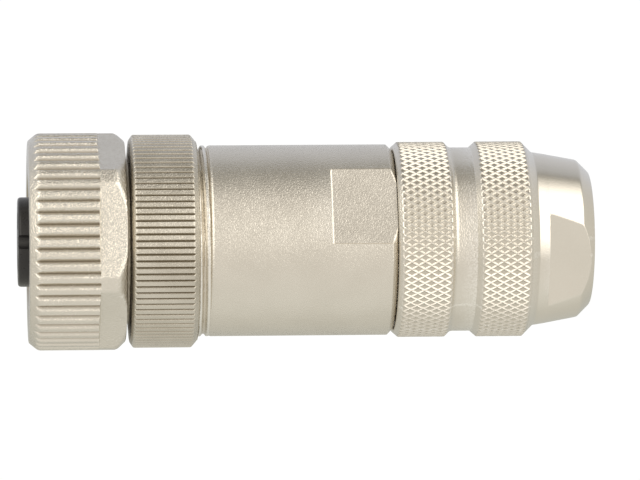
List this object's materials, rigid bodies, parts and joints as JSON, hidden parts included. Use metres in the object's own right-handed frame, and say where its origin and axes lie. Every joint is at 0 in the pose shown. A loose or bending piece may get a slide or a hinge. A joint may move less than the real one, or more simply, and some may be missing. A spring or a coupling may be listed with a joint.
{
  "type": "m12 connector",
  "caption": "Straight metal M12 cable connector with a socket insert, turning coupling nut, knurled union ring, barrel housing and knurled clamping nut.",
  "frame": {"origin": "centre of the cable end face, which the connector stands on", "axes": "+Z along the connector's axis from the cable end towards the mating face; the coding keyway points along -Y"},
  "size_m": [0.02, 0.02, 0.0528],
  "materials": {
    "coupling_nickel": "satin nickel plate on turned brass",
    "union_nickel": "satin nickel plate on turned brass",
    "housing_nickel": "fine-grained nickel plate on turned brass",
    "clamp_nickel": "bright nickel plate on turned brass",
    "sleeve_nickel": "nickel plate on turned brass",
    "spring_steel": "bare spring steel",
    "insert_plastic": "black moulded plastic",
    "block_plastic": "black moulded plastic",
    "contact_gold": "gold plate on turned brass",
    "screw_steel": "zinc-plated steel",
    "shield_brass": "tinned brass sheet",
    "cage_plastic": "dark green moulded plastic",
    "cable_rubber": "soft black rubber",
    "seal_rubber": "black rubber",
    "washer_plastic": "natural plastic"
  },
  "bodies": {
    "housing": {"housing": "housing_nickel", "shield_ring": "shield_brass", "clamping_cage": "cage_plastic", "cable_seal": "cable_rubber"},
    "carrier": {"carrier_sleeve": "sleeve_nickel", "contact_insert": "insert_plastic", "insert_seal": "seal_rubber", "terminal_block": "block_plastic", "contact_1": "contact_gold", "contact_2": "contact_gold", "contact_3": "contact_gold", "contact_4": "contact_gold", "housing_seal": "seal_rubber"},
    "union_ring": {"union_ring": "union_nickel"},
    "retaining_ring": {"retaining_ring": "spring_steel"},
    "coupling_nut": {"coupling_nut": "coupling_nickel"},
    "thrust_washer": {"thrust_washer": "washer_plastic"},
    "clamping_nut": {"clamping_nut": "clamp_nickel"},
    "terminal_screw_1": {"terminal_screw_1": "screw_steel"},
    "terminal_screw_2": {"terminal_screw_2": "screw_steel"},
    "terminal_screw_3": {"terminal_screw_3": "screw_steel"},
    "terminal_screw_4": {"terminal_screw_4": "screw_steel"}
  },
  "joints": [
    {"name": "union_ring_turn", "type": "hinge", "parent": "carrier", "child": "union_ring", "pos_m": [0, 0, 0.039], "axis": [0, 0, 1], "range_deg": [0, 1620]},
    {"name": "carrier_slide", "type": "slide", "parent": "housing", "child": "carrier", "axis": [0, 0, 1], "range_m": [0, 0.00337]},
    {"name": "nut_play", "type": "slide", "parent": "carrier", "child": "retaining_ring", "axis": [0, 0, 1], "range_m": [0, 0.0006]},
    {"name": "coupling_nut_spin", "type": "hinge", "parent": "retaining_ring", "child": "coupling_nut", "pos_m": [0, 0, 0.047], "axis": [0, 0, 1], "continuous": true},
    {"name": "clamping_nut_turn", "type": "hinge", "parent": "thrust_washer", "child": "clamping_nut", "pos_m": [0, 0, 0.01], "axis": [0, 0, -1], "range_deg": [0, 2880]},
    {"name": "gland_slide", "type": "slide", "parent": "housing", "child": "thrust_washer", "axis": [0, 0, -1], "range_m": [0, 0.008]},
    {"name": "terminal_screw_1_turn", "type": "hinge", "parent": "carrier", "child": "terminal_screw_1", "pos_m": [0.00354, -0.00354, 0.02948], "axis": [0.7071, -0.7071, 0], "range_deg": [0, 720]},
    {"name": "terminal_screw_2_turn", "type": "hinge", "parent": "carrier", "child": "terminal_screw_2", "pos_m": [0.00354, 0.00354, 0.02948], "axis": [0.7071, 0.7071, 0], "range_deg": [0, 720]},
    {"name": "terminal_screw_3_turn", "type": "hinge", "parent": "carrier", "child": "terminal_screw_3", "pos_m": [-0.00354, 0.00354, 0.02948], "axis": [-0.7071, 0.7071, 0], "range_deg": [0, 720]},
    {"name": "terminal_screw_4_turn", "type": "hinge", "parent": "carrier", "child": "terminal_screw_4", "pos_m": [-0.00354, -0.00354, 0.02948], "axis": [-0.7071, -0.7071, 0], "range_deg": [0, 720]}
  ],
  "couplings": [
    {"joint": "carrier_slide", "follows": "union_ring_turn", "m_per_rad": 0.00011936},
    {"joint": "gland_slide", "follows": "clamping_nut_turn", "m_per_rad": 0.00015915}
  ]
}
